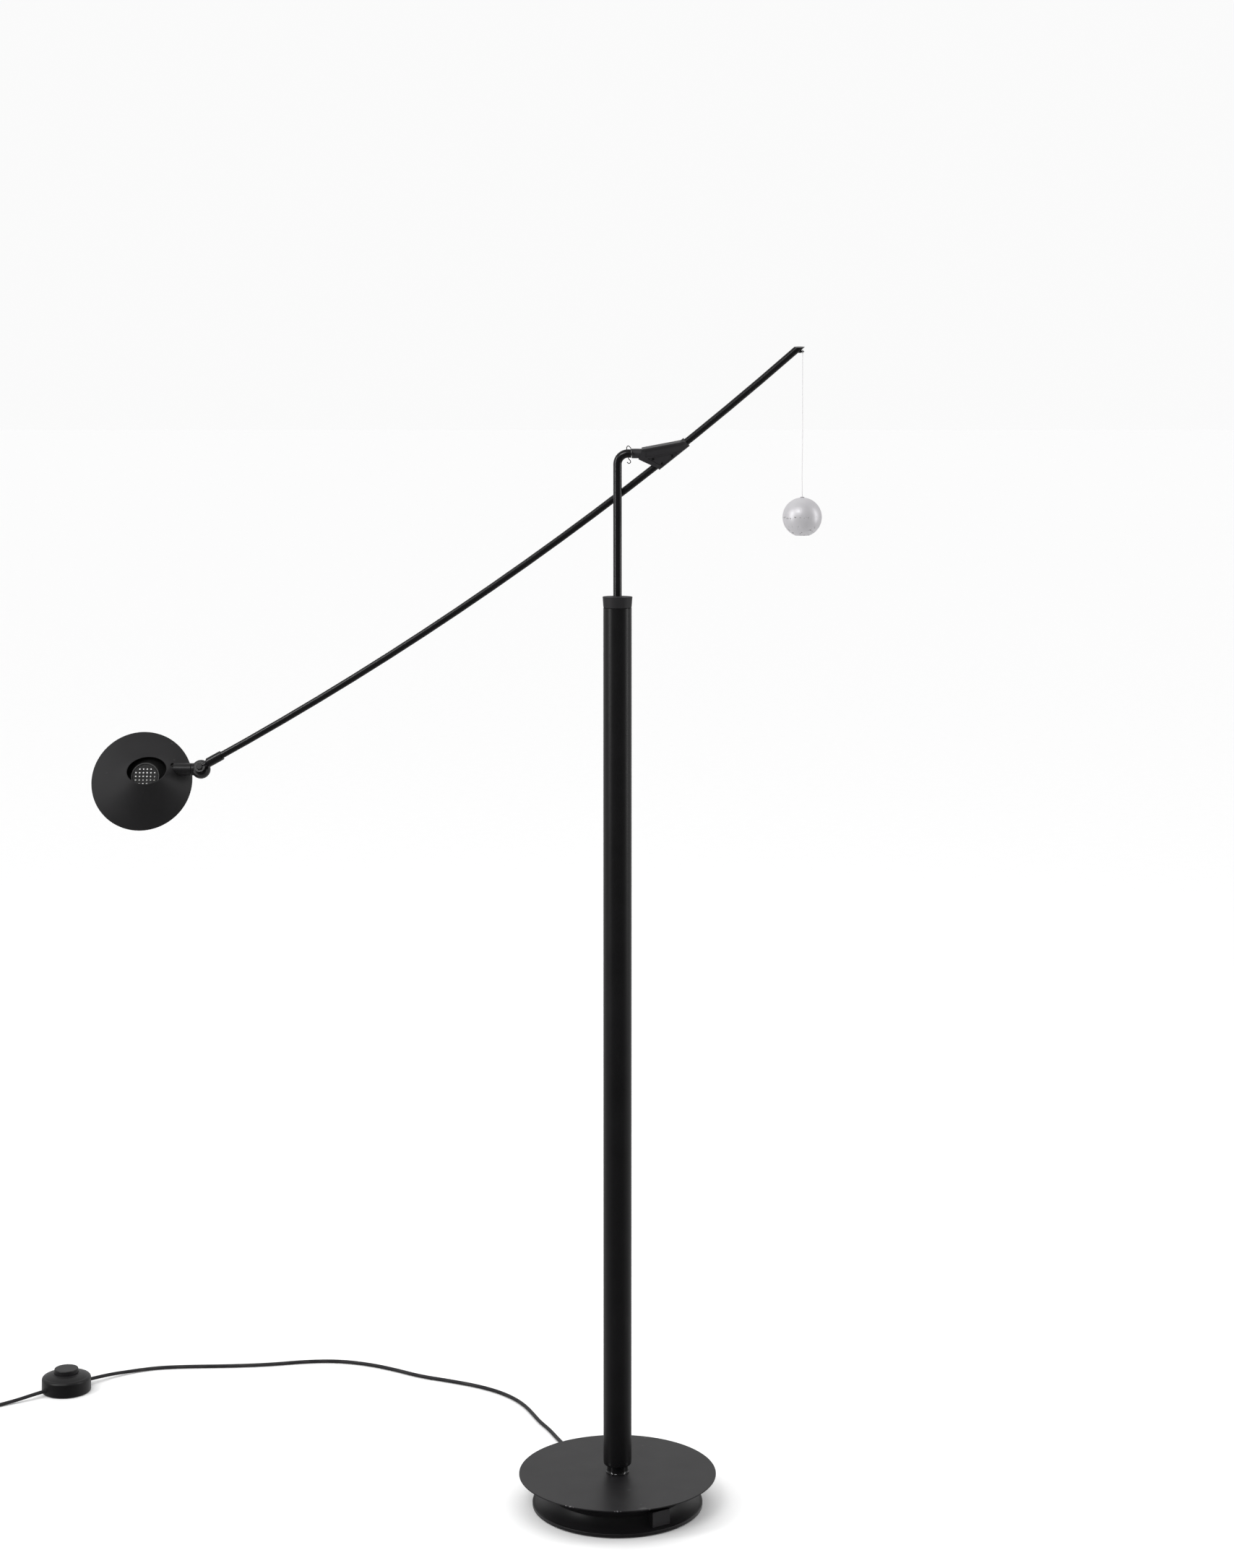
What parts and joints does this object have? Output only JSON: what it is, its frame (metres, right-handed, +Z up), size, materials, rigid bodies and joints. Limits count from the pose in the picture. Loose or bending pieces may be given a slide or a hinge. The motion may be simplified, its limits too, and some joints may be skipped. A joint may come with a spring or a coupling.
{
  "type": "counterbalanced pharmacy floor lamp",
  "caption": "Floor lamp with a spool base, a column with a telescoping stem, a long curved arm balanced by a hanging ball, a small shade and a foot switch.",
  "frame": {"origin": "on the floor at the centre of the base pad", "axes": "+Z up along the column, +X along the stem's level end towards the ball weight, +Y away from the side that is seen"},
  "size_m": [1.4014, 0.7186, 1.6449],
  "materials": {
    "casting_coat": "semi-gloss black coat over a grey iron casting",
    "plate_coat": "thin black coat",
    "steel_dark": "blackened steel",
    "floor_pad": "ribbed black rubber",
    "label": "blank dark foil plate",
    "winding": "taped winding",
    "block_plastic": "moulded terminal plastic",
    "gland_rubber": "soft black sleeve",
    "neck_gloss": "gloss black",
    "column_coat": "semi-gloss black powder coat",
    "cap_plastic": "satin black plastic",
    "guide_plastic": "dark bearing plastic",
    "stem_coat": "semi-gloss black",
    "bright_steel": "bright drawn steel",
    "bracket_plastic": "fine-textured black plastic",
    "arm_coat": "semi-gloss black",
    "ball_coat": "satin silver, scuffed below its middle",
    "plug_insert": "satin grey plastic",
    "thread": "pale twisted thread",
    "knuckle_coat": "satin black",
    "shade_coat": "satin black enamel",
    "reflector_white": "white enamel",
    "gauze": "woven wire",
    "ceramic": "unglazed white ceramic",
    "bulb_glass": "clear capsule glass",
    "switch_plastic": "black plastic",
    "button_plastic": "black plastic",
    "lead_sheath": "soft black sheath",
    "plug_plastic": "black plastic",
    "pin_brass": "nickelled brass"
  },
  "bodies": {
    "base": {"base_shell": "casting_coat", "base_bottom_plate": "plate_coat", "base_plate_screws": "steel_dark", "base_floor_pad": "floor_pad", "base_label_plate": "label", "transformer_coil": "winding", "transformer_clamp": "steel_dark", "base_stud_nuts": "steel_dark", "terminal_block": "block_plastic", "lead_gland": "gland_rubber", "column_neck": "neck_gloss", "column_foot": "neck_gloss", "column_tube": "column_coat", "column_cap": "cap_plastic", "column_bush": "guide_plastic", "switch_lower_shell": "switch_plastic", "switch_upper_shell": "switch_plastic", "switch_bushes": "gland_rubber", "switch_contact_block": "block_plastic", "switch_spring": "gland_rubber", "switch_screws": "steel_dark", "lead_base_to_switch": "lead_sheath", "lead_switch_to_coil": "lead_sheath", "lead_coil": "lead_sheath", "lead_plug_end": "lead_sheath", "plug_relief": "gland_rubber", "plug_body": "plug_plastic", "plug_pins": "pin_brass"},
    "stem_guide": {"guide_piston": "guide_plastic", "guide_rings": "guide_plastic"},
    "stem": {"stem_end_collar": "stem_coat", "stem_stop_ring": "stem_coat", "stem_tube": "stem_coat", "stem_pivot": "bright_steel", "pivot_washer": "bright_steel"},
    "arm": {"bracket_body": "bracket_plastic", "bracket_cover": "bracket_plastic", "bracket_cover_screws": "steel_dark", "bracket_clip": "steel_dark", "arm_tube": "arm_coat", "arm_tip": "arm_coat", "arm_socket": "arm_coat"},
    "hanger": {"hanger_ring": "bright_steel"},
    "weight": {"weight_thread": "thread", "weight_ball": "ball_coat", "weight_plug": "plug_insert"},
    "knuckle": {"knuckle_ball": "knuckle_coat", "hinge_pin": "knuckle_coat", "hinge_washer": "knuckle_coat", "stub_tenon": "steel_dark", "tenon_nut": "steel_dark"},
    "shade": {"shade": "shade_coat", "shade_socket": "knuckle_coat", "reflector": "reflector_white", "vent_gauze": "gauze", "shade_ring": "reflector_white", "lampholder": "ceramic", "lampholder_strap": "bright_steel", "bulb": "bulb_glass"},
    "button": {"switch_button": "button_plastic"}
  },
  "joints": [
    {"name": "post_height", "type": "slide", "parent": "base", "child": "stem_guide", "axis": [0, 0, 1], "range_m": [-0.1, 0.25]},
    {"name": "post_swivel", "type": "hinge", "parent": "stem_guide", "child": "stem", "pos_m": [0, 0, 1.2], "axis": [0, 0, 1], "range_deg": [-170, 170]},
    {"name": "arm_roll", "type": "hinge", "parent": "stem", "child": "arm", "pos_m": [0.0275, 0, 1.4958], "axis": [1, 0, 0], "range_deg": [0, 90]},
    {"name": "thread_level", "type": "hinge", "parent": "arm", "child": "hanger", "pos_m": [0.257, -0.02759, 1.63774], "axis": [1, 0, 0], "range_deg": [-90, 0]},
    {"name": "ball_swing", "type": "hinge", "parent": "hanger", "child": "weight", "pos_m": [0.257, -0.02759, 1.63774], "axis": [0, 1, 0], "range_deg": [-30, 30]},
    {"name": "head_tilt", "type": "hinge", "parent": "arm", "child": "knuckle", "pos_m": [-0.60144, 0.08807, 1.04271], "axis": [0, 0.9361, -0.3518], "range_deg": [-60, 60]},
    {"name": "shade_turn", "type": "hinge", "parent": "knuckle", "child": "shade", "pos_m": [-0.60144, 0.09977, 1.03831], "axis": [1, 0, 0], "range_deg": [-60, 120]},
    {"name": "switch_press", "type": "slide", "parent": "base", "child": "button", "axis": [0, 0, -1], "range_m": [0, 0.003], "stiffness_N_per_m": 900, "springref_m": -0.0008, "deforming": ["switch_spring"]}
  ],
  "couplings": [
    {"joint": "thread_level", "follows": "arm_roll", "ratio": -1}
  ]
}
